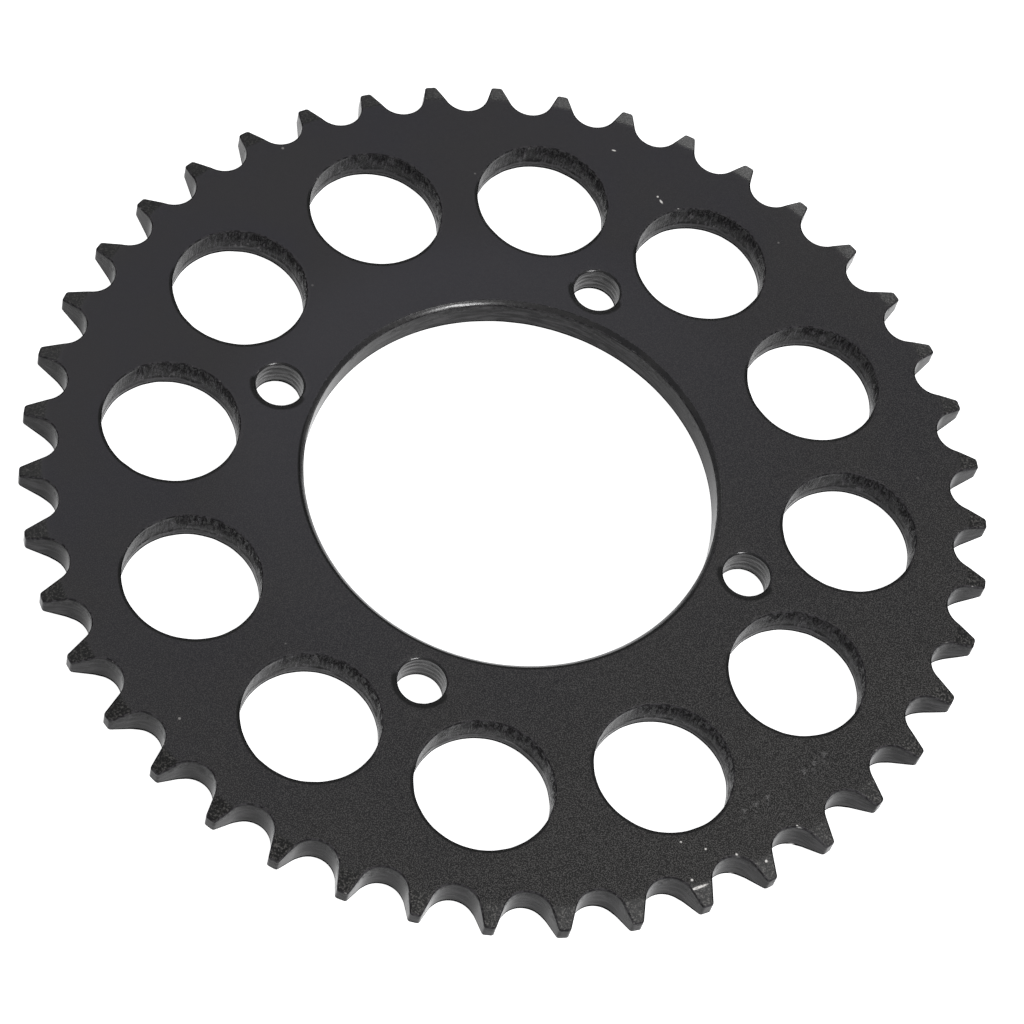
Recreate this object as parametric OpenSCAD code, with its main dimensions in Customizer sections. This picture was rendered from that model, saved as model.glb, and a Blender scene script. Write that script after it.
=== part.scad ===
// Rear drive sprocket for a roller chain: one flat steel plate with a ring of
// teeth, a large hub bore, a circle of hub bolt holes and a ring of round
// lightening holes. Millimetres. The plate lies flat, +Z is the sprocket's own
// axis, out of the front face, and the origin is the centre of the bore, half
// way through the plate.

/* [Chain and teeth] */
// Number of teeth
teeth = 43; // [41:1:44]
// Chain pitch, roller centre to roller centre
chain_pitch = 12.7; // [12.6:0.01:12.8]
// Radius of the roller seat at the bottom of each tooth gap
seat_r = 4.5; // [4.3:0.01:4.6]
// Angle of each straight tooth flank from its gap's centreline, degrees
flank_angle = 21; // [17:0.5:23]
// Height of the tooth tips above the pitch circle
tooth_add = 2.2; // [1.8:0.05:2.6]
// Angle of the first tooth gap from +X, degrees
gap_phase = -0.64; // [-4.1:0.01:4.1]

/* [Plate] */
// Thickness of the plate
plate_t = 7; // [6.4:0.1:7.4]
// Front face: how far below the pitch circle the chain guide slope starts
front_slope_in = 1.7; // [1:0.1:2.4]
// Front face: how deep the chain guide slope is at the tooth tips
front_slope_d = 1.4; // [0.8:0.1:1.8]
// Back face: how far below the pitch circle the chain guide slope starts
back_slope_in = 2.6; // [1.5:0.1:3]
// Back face: how deep the chain guide slope is at the tooth tips
back_slope_d = 2.5; // [1:0.1:2.7]

/* [Hub fit] */
// Diameter of the bore that sits on the hub's spigot
bore_d = 76.4; // [74:0.1:78]
// Chamfer at both edges of the bore
bore_chamfer = 0.8; // [0.2:0.1:1]
// Number of hub bolts
bolt_count = 4; // [3:1:6]
// Diameter of the circle through the bolt holes
bolt_circle_d = 92; // [91:0.5:94]
// Diameter of each bolt hole
bolt_hole_d = 8.8; // [8.2:0.1:9.2]
// Chamfer at the front edge of each bolt hole
bolt_chamfer_front = 0.3; // [0.1:0.1:0.8]
// Chamfer at the back edge of each bolt hole
bolt_chamfer_back = 1; // [0.1:0.1:1.2]

/* [Lightening holes] */
// Number of lightening holes
light_count = 12; // [6:1:12]
// Diameter of each lightening hole
light_d = 25; // [20:0.1:25.6]
// Diameter of the circle through the lightening holes
light_circle_d = 125.8; // [124:0.1:127]
// Angle of the first punched hole from +X, degrees
light_first = 256.2; // [240:0.1:270]
// Indexing step from one punched hole to the next, degrees
light_step = 29.86; // [29.8:0.01:30]

/* [Hidden] */
$fn = 180;
pitch_r = chain_pitch / 2 / sin(180 / teeth);
tip_r = pitch_r + tooth_add;
tooth_step = 360 / teeth;
// The flank planes sit this far inside the seat's tangent line, so that each
// flank meets its seat at a clean edge.
flank_in = 0.02;
over = 1;

// The turned blank: bore with its chamfers, flat faces, and a chain guide slope
// on both sides of the rim.
module blank() {
    br = bore_d / 2;
    h = plate_t / 2;
    rotate_extrude()
        polygon([
            [br, -h + bore_chamfer],
            [br, h - bore_chamfer],
            [br + bore_chamfer, h],
            [pitch_r - front_slope_in, h],
            [tip_r, h - front_slope_d],
            [tip_r, -h + back_slope_d],
            [pitch_r - back_slope_in, -h],
            [br + bore_chamfer, -h]
        ]);
}

// Space that one roller needs: a round seat with two straight flanks that open
// towards the tips. Drawn with its centreline along +X.
module tooth_gap() {
    a = flank_angle;
    reach = tooth_add + 4;
    // where the flank plane starts, on the seat's tangent line moved inwards
    sx = -seat_r * sin(a);
    sy = seat_r * cos(a) - flank_in / cos(a);
    ex = reach;
    ey = sy + (ex - sx) * tan(a);
    translate([pitch_r, 0, -plate_t / 2 - over]) {
        cylinder(r = seat_r, h = plate_t + 2 * over);
        linear_extrude(height = plate_t + 2 * over)
            polygon([[sx, -sy], [ex, -ey], [ex, ey], [sx, sy]]);
    }
}

module through_hole(d) {
    translate([0, 0, -plate_t / 2 - over])
        cylinder(d = d, h = plate_t + 2 * over);
}

// A bolt hole with its edge chamfers, turned as one profile.
module bolt_hole() {
    r = bolt_hole_d / 2;
    h = plate_t / 2;
    cf = bolt_chamfer_front;
    cb = bolt_chamfer_back;
    rotate_extrude()
        polygon([
            [0, -h - over], [r + cb + over, -h - over], [r, -h + cb],
            [r, h - cf], [r + cf + over, h + over], [0, h + over]
        ]);
}

module sprocket_plate() {
    color([0.23, 0.23, 0.24])
    difference() {
        blank();
        for (i = [0 : teeth - 1])
            rotate([0, 0, gap_phase + i * tooth_step])
                tooth_gap();
        for (i = [0 : bolt_count - 1])
            rotate([0, 0, i * 360 / bolt_count])
                translate([bolt_circle_d / 2, 0, 0])
                    bolt_hole();
        for (i = [0 : light_count - 1])
            rotate([0, 0, light_first + i * light_step])
                translate([light_circle_d / 2, 0, 0])
                    through_hole(light_d);
    }
}

sprocket_plate();
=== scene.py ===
# Looks of the rear sprocket: one coated steel plate, rebuilt as one closed mesh
# with broken edges, sheared hole walls, turned rim slopes and a punched mark,
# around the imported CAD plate. Lengths in the mesh code are millimetres.
import bpy
import math
import numpy as np
from mathutils import Matrix, Vector
from mathutils.geometry import delaunay_2d_cdt


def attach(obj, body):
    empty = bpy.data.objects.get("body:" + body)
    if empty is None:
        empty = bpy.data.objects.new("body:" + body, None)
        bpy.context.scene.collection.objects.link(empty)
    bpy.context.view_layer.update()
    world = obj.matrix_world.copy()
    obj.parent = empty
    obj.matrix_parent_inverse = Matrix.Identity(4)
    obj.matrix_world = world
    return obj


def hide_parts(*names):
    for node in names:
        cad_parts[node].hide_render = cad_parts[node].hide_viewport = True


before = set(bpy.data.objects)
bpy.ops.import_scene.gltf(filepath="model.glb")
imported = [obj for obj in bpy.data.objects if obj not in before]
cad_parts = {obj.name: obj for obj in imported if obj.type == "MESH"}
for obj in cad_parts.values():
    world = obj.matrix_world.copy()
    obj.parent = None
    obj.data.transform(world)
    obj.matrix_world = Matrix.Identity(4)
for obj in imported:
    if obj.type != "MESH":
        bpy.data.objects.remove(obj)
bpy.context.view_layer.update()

# ---------------------------------------------------------------- camera
scene = bpy.context.scene
cam_data = bpy.data.cameras.new("camera")
cam_data.sensor_fit = "HORIZONTAL"
cam_data.sensor_width = 36.0
cam_data.lens = 137.446
cam_data.clip_start = 0.05
cam_data.clip_end = 50.0
cam_data.dof.use_dof = False
cam = bpy.data.objects.new("camera", cam_data)
scene.collection.objects.link(cam)
rot = Matrix((
    (0.9248158618, -0.3768157523, 0.0522064227),
    (0.3461846254, 0.7767429595, -0.5261431174),
    (0.1577080433, 0.5046585615, 0.8487920295),
))
cam.matrix_world = (Matrix.Translation((0.0395141, -0.3795167, 0.6049893)) @ rot.to_4x4()
                    @ Matrix.Rotation(0.000205, 4, "Y") @ Matrix.Rotation(0.000085, 4, "X"))
scene.camera = cam

# ---------------------------------------------------------------- sizes (mm)
TEETH = 43
PITCH_R = 12.7 / 2 / math.sin(math.pi / TEETH)
TIP_R = PITCH_R + 2.2
SEAT_R = 4.5
FLANK = math.radians(21.0)
GAP0 = math.radians(-0.64)
STEP = 2 * math.pi / TEETH
T = 7.0                                  # the mesh code counts heights from the back face
TOP_S, TOP_D = PITCH_R - 1.7, 1.4      # front slope: start radius, depth at the tips
BOT_S, BOT_D = PITCH_R - 2.6, 2.5
BORE_R, CHAMFER = 38.2, 0.8
BOLT_CF, BOLT_CB = 0.3, 1.0
BOLT_C, BOLT_R = 46.0, 4.4
LIGHT_C, LIGHT_R = 62.9, 12.5
LIGHT_A = [math.radians(256.2 + 29.86 * i) for i in range(12)]
BOLT_A = [math.radians(90.0 * i) for i in range(4)]
EDGE = 0.22                              # edge break radius
HOLE_LIP = 0.52                          # the same round the holes
COAT = 0.09                              # build-up of the coat over the toothed outline
LIP = 0.37                               # where the flat face's own mesh starts


# ---------------------------------------------------------------- noise
def ring_noise(rng, u, waves, low=1, power=1.0):
    """Smooth periodic noise of the angle u, about -1..1."""
    out = np.zeros_like(u)
    norm = 0.0
    for k in range(low, low + waves):
        a = k ** (-power)
        out += a * np.sin(k * u + rng.uniform(0, 2 * math.pi))
        norm += a * a / 2
    return out / math.sqrt(norm) * 0.6


def grid_noise(rng, u, z, cells_u, cells_z, octaves=3, gain=0.6):
    """Value noise on an angle x height grid, periodic in the angle, about -1..1."""
    out = np.zeros(np.broadcast(u, z).shape)
    amp, total = 1.0, 0.0
    for _ in range(octaves):
        cu, cz = int(cells_u), int(cells_z) + 2
        table = rng.uniform(-1, 1, (cu, cz + 2))
        fu = (u / (2 * math.pi) % 1.0) * cu
        fz = np.clip(z / T, 0, 1) * (cz - 1)
        iu, iz = np.floor(fu).astype(int) % cu, np.floor(fz).astype(int)
        tu, tz = fu - np.floor(fu), fz - np.floor(fz)
        tu, tz = tu * tu * (3 - 2 * tu), tz * tz * (3 - 2 * tz)
        a = table[iu, iz] * (1 - tu) + table[(iu + 1) % cu, iz] * tu
        b = table[iu, iz + 1] * (1 - tu) + table[(iu + 1) % cu, iz + 1] * tu
        out = out + amp * (a * (1 - tz) + b * tz)
        total += amp
        amp *= gain
        cells_u, cells_z = cells_u * 2.1, cells_z * 2.0
    return out / total * 1.6


def smooth(a, b, x):
    t = np.clip((x - a) / (b - a), 0, 1)
    return t * t * (3 - 2 * t)


# ---------------------------------------------------------------- heights
def slope_drop(r, start, depth):
    """The turned slope of the rim: flat, then a straight cone with a soft start."""
    k = depth / (TIP_R - start)
    d = r - start
    e = 0.22
    return k * (np.sqrt(d * d + e * e) + d) / 2


MARKS = []           # plain punched dots on the front face: x, y, radius, depth
for group, n in ((-35.0, 3), (-24.5, 3)):
    for i in range(n):
        a = math.radians(group + (i - (n - 1) / 2) * 1.95)
        MARKS.append((76.8 * math.cos(a), 76.8 * math.sin(a), 0.92, 0.34))


def top_height(x, y):
    r = np.hypot(x, y)
    z = T - slope_drop(r, TOP_S, TOP_D)
    for mx, my, mr, md in MARKS:
        d = np.hypot(x - mx, y - my) / mr
        z = z - md * np.where(d < 1, np.clip((1 - d) * 1.35, 0, 1) ** 0.8, 0)
        z = z + 0.05 * np.exp(-((d - 1.22) / 0.16) ** 2)      # raised burr round each dot
    return z


def bottom_height(x, y):
    return slope_drop(np.hypot(x, y), BOT_S, BOT_D - 0.1)


# ---------------------------------------------------------------- outlines
def half_gap():
    """From the bottom of a tooth gap to the middle of the next tip, gap centreline on +X."""
    pts = []
    phi_t = math.pi / 2 - FLANK
    for i in range(9):
        p = phi_t * i / 9
        pts.append((PITCH_R - SEAT_R * math.cos(p), SEAT_R * math.sin(p)))
    start = np.array((PITCH_R - SEAT_R * math.cos(phi_t), SEAT_R * math.sin(phi_t)))
    d = np.array((math.cos(FLANK), math.sin(FLANK)))
    b = float(start @ d)
    reach = -b + math.sqrt(b * b - float(start @ start) + TIP_R * TIP_R)
    corner = start + reach * d
    cut = 0.34
    for i in range(7):
        pts.append(tuple(start + d * (reach - cut) * i / 7))
    a_corner = math.atan2(corner[1], corner[0])
    a_end = a_corner + cut / TIP_R
    p0 = start + d * (reach - cut)
    n0 = math.atan2(-d[0], d[1])                 # outward normal of the flank, as an angle
    n1 = a_end
    turn = (n1 - n0 + math.pi) % (2 * math.pi) - math.pi
    rc = cut / math.tan(abs(turn) / 2)
    mid_c = p0 - rc * np.array((math.cos(n0), math.sin(n0)))
    for i in range(4):
        a = n0 + turn * i / 4
        pts.append((mid_c[0] + rc * math.cos(a), mid_c[1] + rc * math.sin(a)))
    mid = STEP / 2
    for i in range(2):
        a = a_end + (mid - a_end) * i / 2
        pts.append((TIP_R * math.cos(a), TIP_R * math.sin(a)))
    pts.append((TIP_R * math.cos(mid), TIP_R * math.sin(mid)))
    return np.array(pts)


def outline():
    """The whole toothed outline, counter-clockwise, with the outward normal of the material."""
    half = half_gap()
    low = half[:0:-1] * (1, -1)                  # from the tip at -STEP/2 down to the gap
    one = np.vstack([low, half[:-1]])            # one full gap, tip to tip
    rng = np.random.default_rng(11)
    parts = []
    for k in range(TEETH):
        a = GAP0 + k * STEP + math.radians(rng.uniform(-0.03, 0.03))
        c, s = math.cos(a), math.sin(a)
        parts.append(one @ np.array(((c, s), (-s, c))))
    p = np.vstack(parts)
    t = np.roll(p, -1, 0) - np.roll(p, 1, 0)
    t /= np.linalg.norm(t, axis=1)[:, None]
    n = np.stack([t[:, 1], -t[:, 0]], 1)
    return p + COAT * n, n


def circle(cx, cy, r, count):
    """A hole's outline, counter-clockwise, with the normal that points out of the material."""
    u = np.arange(count) * 2 * math.pi / count
    n = -np.stack([np.cos(u), np.sin(u)], 1)
    return np.array((cx, cy)) - n * r, n, u


# ---------------------------------------------------------------- wall relief
def sheared_wall(seed, u, z):
    """How far a punched hole's wall stands back from its land. Rows of z, columns of u."""
    rng = np.random.default_rng(seed)
    land = 1.95 + 0.20 * ring_noise(rng, u, 9, 2, 0.7)
    rough = 0.35 + 0.65 * smooth(-0.35, 0.75, np.cos(u - math.radians(32)) + 0.25 * ring_noise(rng, u, 6))
    torn = grid_noise(rng, u, z, 34, 6, 3, 0.65)
    drag = grid_noise(rng, u + z * 0.05, z, 70, 1, 2, 0.7)
    back = 0.10 + rough * (0.075 * torn + 0.05 * drag) + 0.014 * (z - land)
    s = smooth(-0.16, 0.20, z - land)
    step = 0.98 + 0.09 * ring_noise(rng, u, 12, 3, 0.6)
    lower = 0.055 * smooth(-0.14, 0.14, step - z)
    chip = np.clip(grid_noise(rng, u, z * 0, 46, 1, 2, 0.7) - 0.25, 0, 1) * smooth(T - 1.0, T - 0.25, z) * 0.16 * rough
    return np.clip(s * back + lower + chip, -0.02, 0.3)


def drilled_wall(seed, u, z):
    """A bolt hole's wall: stepped tool rings that waver."""
    rng = np.random.default_rng(seed)
    w = z + 0.16 * ring_noise(rng, u, 5, 1, 0.8)
    rings = 0.5 + 0.5 * np.sin(2 * math.pi * w / 1.32 + rng.uniform(0, 6.28))
    rings = rings ** 1.6 * 0.085
    return rings * smooth(0.2, 0.9, z) + 0.015 * grid_noise(rng, u, z, 20, 6, 3)


def bored_wall(seed, u, z):
    rng = np.random.default_rng(seed)
    return 0.006 * ring_noise(rng, u, 20, 3, 0.4) + 0 * z


def cut_wall(seed, u, z):
    """Tooth gaps: faint steps along the axis from the cutter."""
    rng = np.random.default_rng(seed)
    return 0.012 * grid_noise(rng, u, z, 430, 2, 2, 0.6) + 0.010 * np.sin(z * 5.1 + 3 * np.sin(u * 7))


# ---------------------------------------------------------------- mesh builder
verts = []
ragged = []          # per vertex: how badly a punched wall has torn
painted_edge_shade = []          # per vertex: 1 where an edge is painted black as shade: the front edges that face +Y, away from the camera
faces = []
mats = []
FACE, WALL, CUT, RIM, DRILL, CHAM = 0, 1, 2, 3, 4, 5


def add_verts(xyz, edge_shade=0.0, torn=0.0):
    start = sum(len(v) for v in verts)
    verts.append(np.asarray(xyz, float))
    painted_edge_shade.append(np.zeros(len(xyz)) + edge_shade)
    ragged.append(np.zeros(len(xyz)) + torn)
    return start + np.arange(len(xyz))


def strip(a, b, mat, flip=False):
    """Quads between two closed loops of the same length."""
    a2, b2 = np.roll(a, -1), np.roll(b, -1)
    q = np.stack([a, a2, b2, b], 1)
    if flip:
        q = q[:, ::-1]
    faces.append(q)
    mats.append(np.full(len(q), mat))


def wall_rows(lo, hi, rows):
    s = np.linspace(0, 1, rows + 1) if isinstance(rows, int) else np.array(rows)
    return lo[None, :] * (1 - s[:, None]) + hi[None, :] * s[:, None]


loops_face = []     # the loop where each contour meets the flat face's own mesh (xy)


def contour(p, n, u, rows, relief, seed, mat, outer, cf=0.0, cb=0.0, wave=0.0, cwave=0.0):
    """One closed contour: face lip, edge break or chamfer, wall, and the same at the back.
    n points out of the material. Outer contours run counter-clockwise with material inside.
    Returns the rings from front to back, each with the material of the strip that leads to it."""
    rng = np.random.default_rng(seed + 900)
    zero = np.zeros(len(u))
    wob_t = wave * ring_noise(rng, u, 26, 3, 0.55) if wave else zero
    wob_b = wave * ring_noise(rng, u, 26, 3, 0.55) if wave else zero
    sag_t = cwave * (0.5 + 0.5 * ring_noise(rng, u, 40, 9, 0.3)).clip(0, 1) if cwave else zero
    sag_b = cwave * (0.5 + 0.5 * ring_noise(rng, u, 40, 9, 0.3)).clip(0, 1) if cwave else zero

    def at(d):
        return p - n * np.asarray(d)[..., None]

    def ring(d, height, drop):
        q = at(d)
        return np.column_stack([q, height(*q.T) + drop])

    loops_face.append(at(zero + (LIP if outer else HOLE_LIP) + max(cf, cb)))
    e = EDGE
    c = 0.06

    def side(height, sign, cham, wob, sag):
        out = []
        if cham:
            out.append((ring(cham + c + wob, height, 0 * u), FACE))
            out.append((ring(cham - 0.7 * c + wob, height, -sign * 0.7 * c + 0 * u), RIM))
            out.append((ring(0.7 * c + sag + wob, height, -sign * (cham - 0.7 * c - sag)), CHAM))
            z = height(*at(zero).T) - sign * (cham + c)
        else:
            out.append((ring(e + wob, height, 0 * u), FACE))
            out.append((ring(0.293 * e + wob, height, -sign * 0.293 * e + 0 * u), RIM))
            z = height(*at(zero).T) - sign * e
        return out, z

    top, z_top = side(top_height, 1, cf, wob_t, sag_t)
    bot, z_bot = side(bottom_height, -1, cb, wob_b, sag_b)
    z = wall_rows(z_top, z_bot, rows)
    d = relief(seed, u[None, :] + 0 * z, z)
    hold = np.minimum(np.abs(z - z_top) / 0.35, np.abs(z - z_bot) / 0.35).clip(0, 1)
    share = (z - z_bot) / np.maximum(z_top - z_bot, 1e-6)
    off = d * hold + wob_t[None, :] * share + wob_b[None, :] * (1 - share)
    # painted shade: the front edges that face +Y, away from the camera, are painted black, on the edge break, the
    # face's lip and the wall's top ring
    edge_shade = smooth(-0.05, 0.35, n[:, 1])
    chain = [(add_verts(r, edge_shade), m) for r, m in top]
    for i in range(len(z)):
        r = np.column_stack([p - n * off[i][:, None], z[i]])
        torn = smooth(-0.1, 0.8, np.cos(u - math.radians(60)) + 0.3 * wob_t / (wave or 1)) * smooth(1.5, 5.5, z[i])
        chain.append((add_verts(r, edge_shade if i == 0 else 0.0, torn), RIM if i in (0, len(z) - 1) else mat))
    # going down: the strip that leads to a back ring is the one after it in the front's order
    back_mats = [RIM] + [m for _, m in bot[::-1]][:-1]
    for (r, _), m in zip(bot[::-1], back_mats):
        chain.append((add_verts(r), m))
    return chain, outer


# where a punched hole's wall has its rows: closer together over the lower land
LIGHT_ROWS = [0, 0.08, 0.17, 0.26, 0.35, 0.44, 0.53, 0.61, 0.67, 0.715, 0.755, 0.795, 0.835, 0.875, 0.915, 0.955, 1]
contours = []
p, n = outline()
arc = np.arange(len(p)) / len(p) * 2 * math.pi
contours.append(contour(p, n, arc, [0, 0.07, 0.24, 0.43, 0.62, 0.79, 0.93, 1], cut_wall, 1, CUT, True))
p, n, u = circle(0, 0, BORE_R, 480)
contours.append(contour(p, n, u, [0, 0.06, 0.35, 0.65, 0.94, 1], bored_wall, 2, CUT, False, cf=CHAMFER, cb=CHAMFER, cwave=0.10))
for i, a in enumerate(LIGHT_A):
    p, n, u = circle(LIGHT_C * math.cos(a), LIGHT_C * math.sin(a), LIGHT_R, 152)
    contours.append(contour(p, n, u, LIGHT_ROWS, sheared_wall, 20 + i, WALL, False, cb=0.3, wave=0.035))
for i, a in enumerate(BOLT_A):
    p, n, u = circle(BOLT_C * math.cos(a), BOLT_C * math.sin(a), BOLT_R, 64)
    contours.append(contour(p, n, u, 16, drilled_wall, 50 + i, DRILL, False, cf=BOLT_CF, cb=BOLT_CB, wave=0.015))


# ---------------------------------------------------------------- flat faces
def gap_distance(x, y):
    """Signed distance to the nearest tooth gap: positive in the material."""
    r, a = np.hypot(x, y), np.arctan2(y, x) - GAP0
    a = np.abs((a + STEP / 2) % STEP - STEP / 2)
    lx, ly = r * np.cos(a) - PITCH_R, r * np.sin(a)
    ca, sa = math.cos(FLANK), math.sin(FLANK)
    along = (lx + SEAT_R * sa) * ca + (ly - SEAT_R * ca) * sa
    flank = (ly - SEAT_R * ca) * ca - (lx + SEAT_R * sa) * sa
    return np.where(along > 0, flank, np.hypot(lx, ly) - SEAT_R)


def inside(x, y, margin):
    ok = (gap_distance(x, y) > margin) & (np.hypot(x, y) < TIP_R - margin)
    ok &= np.hypot(x, y) > BORE_R + CHAMFER + margin
    for a in LIGHT_A:
        ok &= np.hypot(x - LIGHT_C * math.cos(a), y - LIGHT_C * math.sin(a)) > LIGHT_R + margin
    for a in BOLT_A:
        ok &= np.hypot(x - BOLT_C * math.cos(a), y - BOLT_C * math.sin(a)) > BOLT_R + BOLT_CB + margin
    return ok


points = [loop for loop in loops_face]
owner = [np.full(len(loop), i) for i, loop in enumerate(loops_face)]
edges = []
base = 0
for loop in loops_face:
    i = base + np.arange(len(loop))
    edges.append(np.stack([i, np.roll(i, -1)], 1))
    base += len(loop)
extra = []
# rows across each tooth, so that the slope has its own edge loops
for r in (TOP_S - 0.9, TOP_S - 0.3, TOP_S + 0.05, TOP_S + 0.5, TOP_S + 1.2, TOP_S + 2.0, TOP_S + 2.8):
    count = int(2 * math.pi * r / 0.62)
    a = np.arange(count) * 2 * math.pi / count
    x, y = r * np.cos(a), r * np.sin(a)
    ok = inside(x, y, LIP + 0.28)
    extra.append(np.stack([x[ok], y[ok]], 1))
# punched dots
mark_pts = []
for mx, my, mr, md in MARKS:
    for f in (0.0, 0.28, 0.6, 0.85, 1.0, 1.2, 1.5):
        c = 1 if f == 0 else 14
        a = np.arange(c) * 2 * math.pi / c + f
        mark_pts.append(np.stack([mx + f * mr * np.cos(a), my + f * mr * np.sin(a)], 1))
extra.append(np.vstack(mark_pts))
# a loose triangular grid over the rest
g = 1.75
ix = np.arange(-90, 90, g)
iy = np.arange(-90, 90, g * 0.866)
gx, gy = np.meshgrid(ix, iy)
gx = gx + (np.arange(len(iy)) % 2)[:, None] * g / 2
gx, gy = gx.ravel(), gy.ravel()
ok = inside(gx, gy, LIP + 0.8) & (np.hypot(gx, gy) < TOP_S - 1.6)
for mx, my, mr, md in MARKS:
    ok &= np.hypot(gx - mx, gy - my) > 2.1 * mr
extra.append(np.stack([gx[ok], gy[ok]], 1))
points += extra
owner += [np.full(len(x), -1) for x in extra]
points = np.vstack(points)
owner = np.concatenate(owner)
edges = np.vstack(edges)
out = delaunay_2d_cdt([Vector(v) for v in points.tolist()], edges.tolist(), [], 0, 1e-6)
out_v, out_f, orig_v = out[0], out[2], out[3]
back = np.array([o[0] if o else -1 for o in orig_v])
if (back < 0).any():
    raise RuntimeError("the face mesh made points of its own: %d of %d" % ((back < 0).sum(), len(back)))
xy = points[back]
own = owner[back]
tri = np.array([list(f) for f in out_f])
a, b, c = xy[tri[:, 0]], xy[tri[:, 1]], xy[tri[:, 2]]
area = (b[:, 0] - a[:, 0]) * (c[:, 1] - a[:, 1]) - (b[:, 1] - a[:, 1]) * (c[:, 0] - a[:, 0])
tri[area < 0] = tri[area < 0][:, ::-1]
same = (own[tri[:, 0]] == own[tri[:, 1]]) & (own[tri[:, 1]] == own[tri[:, 2]])
o0 = own[tri[:, 0]]
drop = same & (o0 > 0)
ring = back[tri]
srt = np.sort(ring, 1)
pa, pb, pc = points[srt[:, 0]], points[srt[:, 1]], points[srt[:, 2]]
turn = (pb[:, 0] - pa[:, 0]) * (pc[:, 1] - pa[:, 1]) - (pb[:, 1] - pa[:, 1]) * (pc[:, 0] - pa[:, 0])
drop |= same & (o0 == 0) & (turn < 0)
tri = tri[~drop]

top_ids = add_verts(np.column_stack([xy, top_height(*xy.T)]))
bot_ids = add_verts(np.column_stack([xy, bottom_height(*xy.T)]))
faces_tri = [top_ids[tri], bot_ids[tri][:, ::-1]]
place = np.empty(len(points), int)
place[back] = np.arange(len(back))

base = 0
for loop, (rings, outer) in zip(loops_face, contours):
    i = place[base + np.arange(len(loop))]
    base += len(loop)
    chain = [(top_ids[i], FACE)] + rings + [(bot_ids[i], FACE)]
    for k in range(len(chain) - 1):
        strip(chain[k][0], chain[k + 1][0], chain[k + 1][1], flip=outer)

V = (np.vstack(verts) - (0, 0, T / 2)) * 0.001
Q = np.vstack(faces)
M = np.concatenate(mats)
TR = np.vstack(faces_tri)
all_faces = Q.tolist() + TR.tolist()
mesh = bpy.data.meshes.new("sprocket_body")
mesh.from_pydata(V.tolist(), [], all_faces)
mesh.polygons.foreach_set("material_index", np.concatenate([M, np.full(len(TR), FACE)]).astype(np.int32))
mesh.polygons.foreach_set("use_smooth", np.ones(len(all_faces), bool))
mesh.update()
for name, values in (("painted_edge_shade", painted_edge_shade), ("ragged", ragged)):
    layer = mesh.attributes.new(name, "FLOAT", "POINT")
    layer.data.foreach_set("value", np.concatenate(values).astype(np.float32))
mesh.validate()
body = bpy.data.objects.new("sprocket_body", mesh)
scene.collection.objects.link(body)
open_edges = 0
import bmesh
bm = bmesh.new()
bm.from_mesh(mesh)
open_edges = sum(1 for e in bm.edges if len(e.link_faces) != 2)
vol = bm.calc_volume(signed=True) * 1e9
print("MESH faces", len(all_faces), "tris", 2 * len(Q) + len(TR), "open edges", open_edges, "volume mm3", round(vol, 1))
bm.free()


# ---------------------------------------------------------------- materials
def new_mat(name):
    m = bpy.data.materials.new(name)
    m.use_nodes = True
    nt = m.node_tree
    bsdf = nt.nodes["Principled BSDF"]
    return m, nt, bsdf


def node(nt, kind, **kw):
    nd = nt.nodes.new(kind)
    for k, v in kw.items():
        setattr(nd, k, v)
    return nd


def noise(nt, coord, scale, detail=2.0, rough=0.5, dist=0.0):
    nd = node(nt, "ShaderNodeTexNoise")
    nd.inputs["Scale"].default_value = scale
    nd.inputs["Detail"].default_value = detail
    nd.inputs["Roughness"].default_value = rough
    nd.inputs["Distortion"].default_value = dist
    nt.links.new(coord, nd.inputs["Vector"])
    return nd.outputs["Fac"]


def ramp(nt, fac, stops):
    nd = node(nt, "ShaderNodeValToRGB")
    el = nd.color_ramp.elements
    while len(el) < len(stops):
        el.new(0.5)
    for e, (pos, col) in zip(el, stops):
        e.position = pos
        e.color = (*col, 1.0) if len(col) == 3 else col
    nt.links.new(fac, nd.inputs["Fac"])
    return nd.outputs["Color"]


def maprange(nt, fac, a, b, lo, hi, smoothstep=False):
    nd = node(nt, "ShaderNodeMapRange")
    nd.clamp = True
    if smoothstep:
        nd.interpolation_type = "SMOOTHSTEP"
    nd.inputs["From Min"].default_value = a
    nd.inputs["From Max"].default_value = b
    nd.inputs["To Min"].default_value = lo
    nd.inputs["To Max"].default_value = hi
    nt.links.new(fac, nd.inputs["Value"])
    return nd.outputs["Result"]


def math2(nt, op, a, b=None):
    nd = node(nt, "ShaderNodeMath", operation=op)
    for i, v in enumerate((a, b)):
        if v is None:
            continue
        if isinstance(v, (int, float)):
            nd.inputs[i].default_value = v
        else:
            nt.links.new(v, nd.inputs[i])
    return nd.outputs[0]


def mixc(nt, fac, a, b):
    nd = node(nt, "ShaderNodeMix", data_type="RGBA")
    nt.links.new(fac, nd.inputs["Factor"]) if not isinstance(fac, (int, float)) else setattr(nd.inputs["Factor"], "default_value", fac)
    for sock, v in ((nd.inputs[6], a), (nd.inputs[7], b)):
        if isinstance(v, tuple):
            sock.default_value = (*v, 1.0)
        else:
            nt.links.new(v, sock)
    return nd.outputs[2]


def bump(nt, height, strength, dist, normal=None):
    nd = node(nt, "ShaderNodeBump")
    nd.inputs["Strength"].default_value = strength
    nd.inputs["Distance"].default_value = dist
    nt.links.new(height, nd.inputs["Height"])
    if normal is not None:
        nt.links.new(normal, nd.inputs["Normal"])
    return nd.outputs["Normal"]


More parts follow.
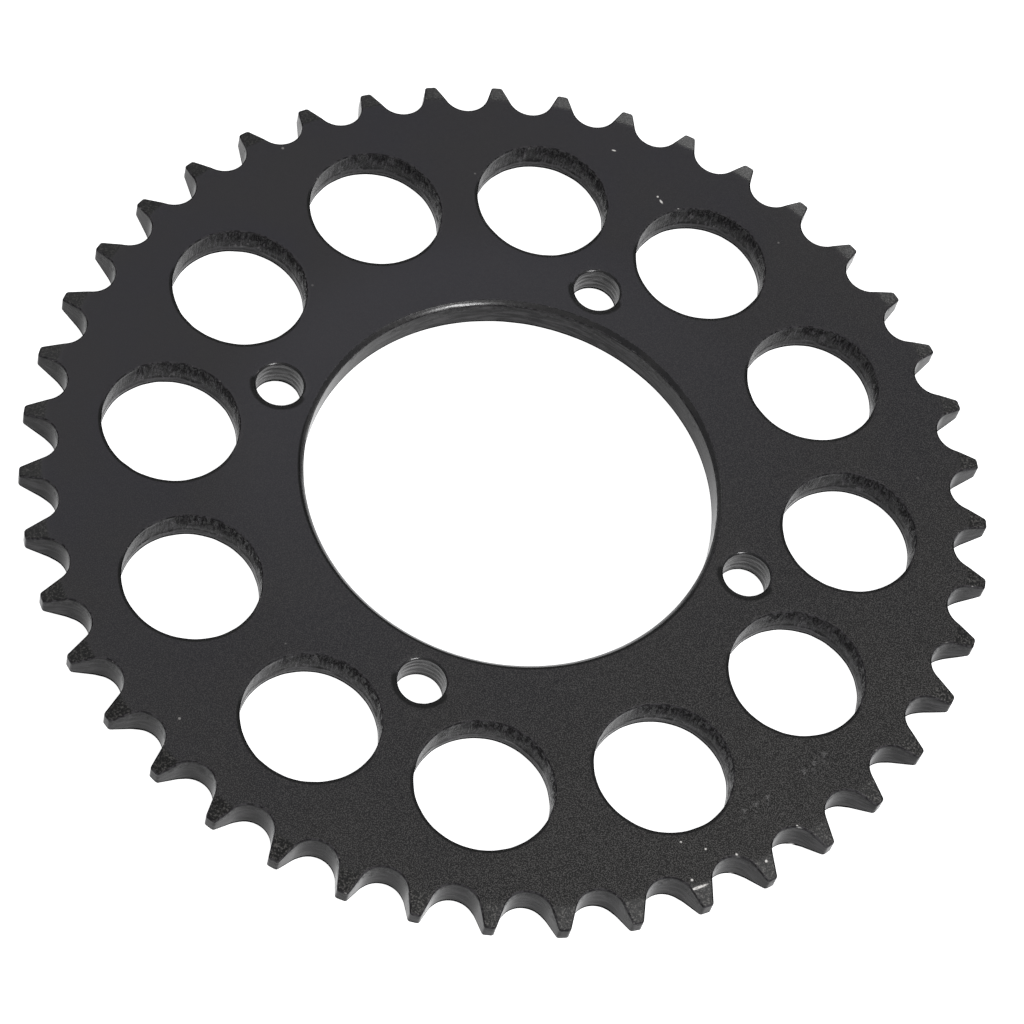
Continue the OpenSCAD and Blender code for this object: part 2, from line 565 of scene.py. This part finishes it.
def marks_mask(nt, coord, marks, soft=0.35):
    """1 inside small ellipses given as x, y, length, width in mm and angle in degrees."""
    total = None
    for i, (x, y, length, width, angle) in enumerate(marks):
        mp = node(nt, "ShaderNodeMapping", vector_type="TEXTURE")
        mp.inputs["Location"].default_value = (x * 0.001, y * 0.001, 0.0)
        mp.inputs["Rotation"].default_value = (0.0, 0.0, math.radians(angle))
        mp.inputs["Scale"].default_value = (length * 0.00055, width * 0.00055, 0.02)
        nt.links.new(coord, mp.inputs["Vector"])
        ln = node(nt, "ShaderNodeVectorMath", operation="LENGTH")
        nt.links.new(mp.outputs[0], ln.inputs[0])
        m = maprange(nt, ln.outputs["Value"], 1.0 - soft, 1.0 + soft, 1.0, 0.0, True)
        total = m if total is None else math2(nt, "MAXIMUM", total, m)
    return total


# pale nicks, scratches and specks in the coat; the two marks at angles -49 and -40 are painted highlights on tooth-gap
# edges
NICKS_AND_GLINTS = [(58.39, -62.94, 3.09, 0.38, 45.0), (57.46, -63.94, 0.56, 0.6, 68.0), (56.85, -62.21, 0.42, 0.42, 0.0), (67.69, -53.11, 0.42, 0.42, 0.0), (52.65, -56.18, 0.34, 0.34, 0.0), (3.24, 71.62, 0.38, 0.38, 0.0), (4.3, 70.8, 0.93, 0.38, -38.0), (7.85, 70.7, 0.34, 0.34, 0.0), (-8.09, 78.0, 0.74, 0.28, 10.0), (57.1, -55.58, 0.34, 0.34, 0.0), (-30.88, 17.43, 0.3, 0.3, 0.0), (62.49, -54.31, 0.55, 0.38, -49.0), (70.58, -44.44, 0.42, 0.3, -40.0), (61.6, -55.9, 0.3, 0.3, 0.0)]
# painted highlights: pale marks on the top edges of two tooth gaps, where the edges catch the light; x, y, length,
# width in mm and angle in degrees
EDGE_GLINTS = [(62.85, -55.15, 0.9, 1.3, -49.0), (71.05, -45.15, 1.1, 1.3, -40.0)]


def object_coord(nt):
    return node(nt, "ShaderNodeTexCoord").outputs["Object"]


# the coated flat faces
m_face, nt, bs = new_mat("satin_black_coat")
co = object_coord(nt)
sep = node(nt, "ShaderNodeSeparateXYZ")
nt.links.new(co, sep.inputs[0])
rad = math2(nt, "SQRT", math2(nt, "ADD", math2(nt, "MULTIPLY", sep.outputs[0], sep.outputs[0]), math2(nt, "MULTIPLY", sep.outputs[1], sep.outputs[1])))
# the coat went on thinner and coarser towards one side of the plate
side = math2(nt, "SUBTRACT", math2(nt, "MULTIPLY", sep.outputs[0], 0.8), math2(nt, "MULTIPLY", sep.outputs[1], 0.6))
coarse = maprange(nt, side, -0.058, 0.072, 0.0, 1.0)
coarse = math2(nt, "POWER", coarse, 1.3)
grain = noise(nt, co, 5200.0, 1.5, 0.6)
blotch = noise(nt, co, 42.0, 3.0, 0.55)
mott = noise(nt, co, 1400.0, 2.0, 0.6)
cool = mixc(nt, maprange(nt, blotch, 0.35, 0.65, 0.0, 1.0, True), (0.0238, 0.0228, 0.0276), (0.0244, 0.0231, 0.0254))
warm = mixc(nt, maprange(nt, blotch, 0.35, 0.65, 0.0, 1.0, True), (0.0044, 0.0041, 0.0044), (0.0050, 0.0045, 0.0044))
inner = math2(nt, "MULTIPLY", maprange(nt, rad, 0.044, 0.060, 1.0, 0.0, True), math2(nt, "SUBTRACT", 1.0, coarse))
cool = mixc(nt, math2(nt, "MULTIPLY", inner, 0.8), cool, (0.0350, 0.0338, 0.0395))
col = mixc(nt, coarse, cool, warm)
col = mixc(nt, math2(nt, "MULTIPLY", math2(nt, "ADD", math2(nt, "MULTIPLY", coarse, 0.80), 0.05), maprange(nt, grain, 0.44, 0.66, 0.0, 1.0, True)), col, (0.092, 0.089, 0.087))
slope = maprange(nt, rad, (TOP_S - 0.3) * 0.001, (TOP_S + 0.4) * 0.001, 0.0, 1.0, True)
tooth_grain = noise(nt, co, 2600.0, 3.0, 0.75)
col = mixc(nt, math2(nt, "MULTIPLY", slope, 0.95), col, (0.0030, 0.0029, 0.0030))
tooth_fac = math2(nt, "MULTIPLY", math2(nt, "MULTIPLY", slope, math2(nt, "ADD", math2(nt, "MULTIPLY", coarse, 0.50), 0.42)), maprange(nt, tooth_grain, 0.49, 0.64, 0.0, 1.0, True))
col = mixc(nt, tooth_fac, col, (0.105, 0.101, 0.096))
# sparse pale specks of dust and pin holes in the coat
vor = node(nt, "ShaderNodeTexVoronoi")
vor.inputs["Scale"].default_value = 170.0
nt.links.new(co, vor.inputs["Vector"])
pick = node(nt, "ShaderNodeSeparateColor")
nt.links.new(vor.outputs["Color"], pick.inputs[0])
speck = math2(nt, "MULTIPLY", maprange(nt, vor.outputs["Distance"], 0.030, 0.060, 1.0, 0.0, True), maprange(nt, pick.outputs[0], 0.62, 0.95, 0.0, 0.75))
col = mixc(nt, speck, col, (0.30, 0.29, 0.28))
# painted shade: the face goes black along the front edges that face +Y, away from the camera
edge_shade = node(nt, "ShaderNodeAttribute", attribute_name="painted_edge_shade").outputs["Fac"]
col = mixc(nt, maprange(nt, edge_shade, 0.10, 0.55, 0.0, 0.97, True), col, (0.002, 0.002, 0.002))
# pale marks: real nicks and specks in the coat, and two painted highlights at tooth-gap edges
nicks_and_glints = math2(nt, "MULTIPLY", marks_mask(nt, co, NICKS_AND_GLINTS), maprange(nt, noise(nt, co, 2400.0, 2.0, 0.6), 0.36, 0.50, 0.35, 1.0, True))
col = mixc(nt, nicks_and_glints, col, (0.62, 0.60, 0.58))
nt.links.new(col, bs.inputs["Base Color"])
rough = math2(nt, "ADD", maprange(nt, mott, 0.3, 0.7, 0.40, 0.48), maprange(nt, blotch, 0.3, 0.7, -0.02, 0.02))
nt.links.new(rough, bs.inputs["Roughness"])
bs.inputs["Specular IOR Level"].default_value = 0.30
h = math2(nt, "ADD", math2(nt, "MULTIPLY", grain, math2(nt, "ADD", math2(nt, "MULTIPLY", coarse, 1.4), 0.25)), math2(nt, "MULTIPLY", mott, math2(nt, "ADD", math2(nt, "MULTIPLY", coarse, 0.8), 0.3)))
h = math2(nt, "ADD", h, math2(nt, "MULTIPLY", math2(nt, "MULTIPLY", slope, tooth_grain), math2(nt, "ADD", math2(nt, "MULTIPLY", coarse, 1.9), 1.6)))
nt.links.new(bump(nt, h, 0.35, 0.00003), bs.inputs["Normal"])

# sheared walls of the punched holes
m_wall, nt, bs = new_mat("sheared_wall_coat")
co = object_coord(nt)
mp = node(nt, "ShaderNodeMapping")
mp.inputs["Scale"].default_value = (1.0, 1.0, 0.32)
nt.links.new(co, mp.inputs["Vector"])
torn = noise(nt, mp.outputs[0], 1500.0, 4.0, 0.7)
broad = noise(nt, mp.outputs[0], 330.0, 2.0, 0.5)
sep = node(nt, "ShaderNodeSeparateXYZ")
nt.links.new(co, sep.inputs[0])
height = math2(nt, "ADD", sep.outputs[2], maprange(nt, broad, 0.3, 0.7, -0.00028, 0.00028))
zone = maprange(nt, height, -0.0018, -0.0013, 0.0, 1.0, True)
line = math2(nt, "MULTIPLY", maprange(nt, height, -0.00265, -0.0024, 0.0, 1.0, True), maprange(nt, height, -0.0022, -0.0019, 1.0, 0.0, True))
col = mixc(nt, zone, (0.040, 0.039, 0.041), (0.0048, 0.0045, 0.0050))
col = mixc(nt, math2(nt, "MULTIPLY", line, 0.85), col, (0.006, 0.006, 0.006))
mp2 = node(nt, "ShaderNodeMapping")
mp2.inputs["Scale"].default_value = (1.0, 1.0, 0.13)
nt.links.new(co, mp2.inputs["Vector"])
streak = noise(nt, mp2.outputs[0], 2500.0, 2.0, 0.6)
col = mixc(nt, maprange(nt, streak, 0.50, 0.66, 0.0, 0.6, True), col, (0.044, 0.042, 0.046))
col = mixc(nt, math2(nt, "MULTIPLY", zone, maprange(nt, torn, 0.55, 0.68, 0.0, 0.9, True)), col, (0.070, 0.067, 0.070))
nt.links.new(col, bs.inputs["Base Color"])
ragged = node(nt, "ShaderNodeAttribute", attribute_name="ragged").outputs["Fac"]
nt.links.new(math2(nt, "ADD", maprange(nt, torn, 0.3, 0.7, 0.08, 0.18), math2(nt, "MULTIPLY", math2(nt, "MULTIPLY", ragged, zone), maprange(nt, torn, 0.42, 0.56, 0.12, 0.80, True))), bs.inputs["Roughness"])
bs.inputs["Specular IOR Level"].default_value = 0.06
hh = math2(nt, "ADD", math2(nt, "MULTIPLY", math2(nt, "MULTIPLY", torn, zone), 1.0), math2(nt, "MULTIPLY", broad, 0.4))
hh = math2(nt, "ADD", hh, math2(nt, "MULTIPLY", streak, 0.5))
hh = math2(nt, "ADD", hh, math2(nt, "MULTIPLY", math2(nt, "MULTIPLY", torn, zone), math2(nt, "MULTIPLY", ragged, 4.5)))
nt.links.new(bump(nt, hh, 0.8, 0.00014), bs.inputs["Normal"])

# bored and cut walls: smooth
m_cut, nt, bs = new_mat("cut_wall_coat")
co = object_coord(nt)
mp = node(nt, "ShaderNodeMapping")
mp.inputs["Scale"].default_value = (1.0, 1.0, 7.0)
nt.links.new(co, mp.inputs["Vector"])
lines = noise(nt, mp.outputs[0], 260.0, 3.0, 0.6)
fine = noise(nt, co, 2500.0, 2.0, 0.6)
col = mixc(nt, maprange(nt, lines, 0.38, 0.66, 0.0, 1.0, True), (0.0070, 0.0066, 0.0073), (0.034, 0.033, 0.0345))
sep = node(nt, "ShaderNodeSeparateXYZ")
nt.links.new(co, sep.inputs[0])
tear = noise(nt, co, 1500.0, 4.0, 0.7)
patch = noise(nt, co, 210.0, 2.0, 0.5)
upper = maprange(nt, math2(nt, "ADD", sep.outputs[2], maprange(nt, patch, 0.3, 0.7, -0.0014, 0.0014)), 0.0004, 0.0022, 0.0, 1.0, True)
col = mixc(nt, math2(nt, "MULTIPLY", upper, maprange(nt, tear, 0.42, 0.55, 0.9, 0.0, True)), col, (0.0040, 0.0038, 0.0041))
col = mixc(nt, math2(nt, "MULTIPLY", upper, maprange(nt, tear, 0.62, 0.72, 0.0, 0.8, True)), col, (0.080, 0.077, 0.080))
nt.links.new(col, bs.inputs["Base Color"])
nt.links.new(math2(nt, "ADD", maprange(nt, lines, 0.3, 0.7, 0.12, 0.22), math2(nt, "MULTIPLY", upper, maprange(nt, tear, 0.40, 0.56, 0.22, 0.0, True))), bs.inputs["Roughness"])
bs.inputs["Specular IOR Level"].default_value = 0.095
nt.links.new(bump(nt, math2(nt, "ADD", math2(nt, "MULTIPLY", lines, 0.7), math2(nt, "MULTIPLY", fine, 0.3)), 0.35, 0.00005), bs.inputs["Normal"])

# drilled walls of the bolt holes: ringed by the tool
m_drill, nt, bs = new_mat("drilled_wall_coat")
co = object_coord(nt)
mp = node(nt, "ShaderNodeMapping")
mp.inputs["Scale"].default_value = (1.0, 1.0, 5.0)
nt.links.new(co, mp.inputs["Vector"])
rings = noise(nt, mp.outputs[0], 330.0, 3.0, 0.6, 0.4)
fine = noise(nt, co, 2200.0, 2.0, 0.6)
col = mixc(nt, maprange(nt, rings, 0.4, 0.62, 0.0, 1.0, True), (0.010, 0.0095, 0.0102), (0.085, 0.083, 0.085))
nt.links.new(col, bs.inputs["Base Color"])
nt.links.new(maprange(nt, rings, 0.3, 0.7, 0.12, 0.22), bs.inputs["Roughness"])
bs.inputs["Specular IOR Level"].default_value = 0.20
nt.links.new(bump(nt, math2(nt, "ADD", math2(nt, "MULTIPLY", rings, 0.8), math2(nt, "MULTIPLY", fine, 0.3)), 0.7, 0.00014), bs.inputs["Normal"])

# chamfers: turned smooth under the coat, so they catch the light
m_cham, nt, bs = new_mat("chamfer_coat")
co = object_coord(nt)
fine = noise(nt, co, 1500.0, 3.0, 0.6)
broad = noise(nt, co, 160.0, 2.0, 0.5)
nt.links.new(mixc(nt, maprange(nt, broad, 0.35, 0.65, 0.0, 1.0, True), (0.012, 0.0115, 0.0125), (0.020, 0.019, 0.0195)), bs.inputs["Base Color"])
nt.links.new(maprange(nt, fine, 0.3, 0.7, 0.20, 0.30), bs.inputs["Roughness"])
bs.inputs["Specular IOR Level"].default_value = 0.7
nt.links.new(bump(nt, fine, 0.35, 0.00005), bs.inputs["Normal"])

# the broken edges: black on the back face; on the front, dark grey with pale wear chips and two pale marks that are
# painted highlights, and black as painted shade where the edge faces +Y, away from the camera
m_rim, nt, bs = new_mat("edge_coat")
co = object_coord(nt)
wear = noise(nt, co, 900.0, 4.0, 0.7)
# painted shade: front edges that face +Y, away from the camera, stay black
edge_shade = node(nt, "ShaderNodeAttribute", attribute_name="painted_edge_shade").outputs["Fac"]
sep = node(nt, "ShaderNodeSeparateXYZ")
nt.links.new(co, sep.inputs[0])
front = maprange(nt, sep.outputs[2], 0.0, 0.001, 0.0, 1.0)
lit = math2(nt, "MULTIPLY", front, math2(nt, "SUBTRACT", 1.0, edge_shade))
broken = maprange(nt, noise(nt, co, 1300.0, 3.0, 0.65), 0.42, 0.58, 0.0, 1.0, True)
lit = math2(nt, "MULTIPLY", lit, math2(nt, "ADD", math2(nt, "MULTIPLY", broken, 0.65), 0.35))
col = mixc(nt, lit, (0.0022, 0.0022, 0.0024), (0.050, 0.048, 0.051))
chip = math2(nt, "MULTIPLY", maprange(nt, wear, 0.62, 0.70, 0.0, 0.9, True), lit)
col = mixc(nt, chip, col, (0.26, 0.25, 0.245))
# painted highlights on the top edges of two tooth gaps
col = mixc(nt, marks_mask(nt, co, EDGE_GLINTS), col, (0.62, 0.61, 0.60))
nt.links.new(col, bs.inputs["Base Color"])
nt.links.new(maprange(nt, wear, 0.3, 0.75, 0.62, 0.45), bs.inputs["Roughness"])
bs.inputs["Specular IOR Level"].default_value = 0.0
nt.links.new(bump(nt, wear, 0.3, 0.00004), bs.inputs["Normal"])

for m in (m_face, m_wall, m_cut, m_rim, m_drill, m_cham):
    mesh.materials.append(m)

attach(body, "root")
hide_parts("sprocket_plate")

# ---------------------------------------------------------------- stage
floor_mesh = bpy.data.meshes.new("floor")
s = 4.0
floor_mesh.from_pydata([(-s, -s, 0), (s, -s, 0), (s, s, 0), (-s, s, 0)], [], [(0, 1, 2, 3)])
floor = bpy.data.objects.new("floor", floor_mesh)
floor.location = (0, 0, -T / 2000 - 0.00005)
scene.collection.objects.link(floor)
m_floor, nt, bs = new_mat("floor_white")
bs.inputs["Base Color"].default_value = (0.45, 0.45, 0.455, 1)
bs.inputs["Roughness"].default_value = 0.9
bs.inputs["Specular IOR Level"].default_value = 0.1
bs.inputs["Emission Color"].default_value = (1, 1, 1, 1)
bs.inputs["Emission Strength"].default_value = 1.0
floor_mesh.materials.append(m_floor)

world = bpy.data.worlds.new("studio")
scene.world = world
world.use_nodes = True
bg = world.node_tree.nodes["Background"]
bg.inputs["Color"].default_value = (0.97, 0.985, 1.0, 1)
bg.inputs["Strength"].default_value = 0.20


def area(name, loc, target, size, power, color=(1, 1, 1)):
    d = bpy.data.lights.new(name, "AREA")
    d.shape = "RECTANGLE"
    d.size, d.size_y = size
    d.energy = power
    d.color = color
    o = bpy.data.objects.new(name, d)
    o.location = loc
    o.rotation_euler = (Vector(target) - Vector(loc)).to_track_quat("-Z", "Y").to_euler()
    scene.collection.objects.link(o)
    return o


area("key", (0.54, -0.07, 1.06), (0, 0, 0), (0.42, 0.42), 7.2)
area("back", (0.02, 1.20, 0.27), (0, 0, 0), (0.60, 0.30), 3.0)
area("left", (-0.80, 0.42, 0.94), (0, 0, 0), (0.70, 0.70), 3.4)
area("front_right", (0.845, -0.62, 0.58), (0, 0, 0), (0.30, 0.24), 5.6)

scene.view_settings.view_transform = "Standard"
scene.view_settings.look = "None"
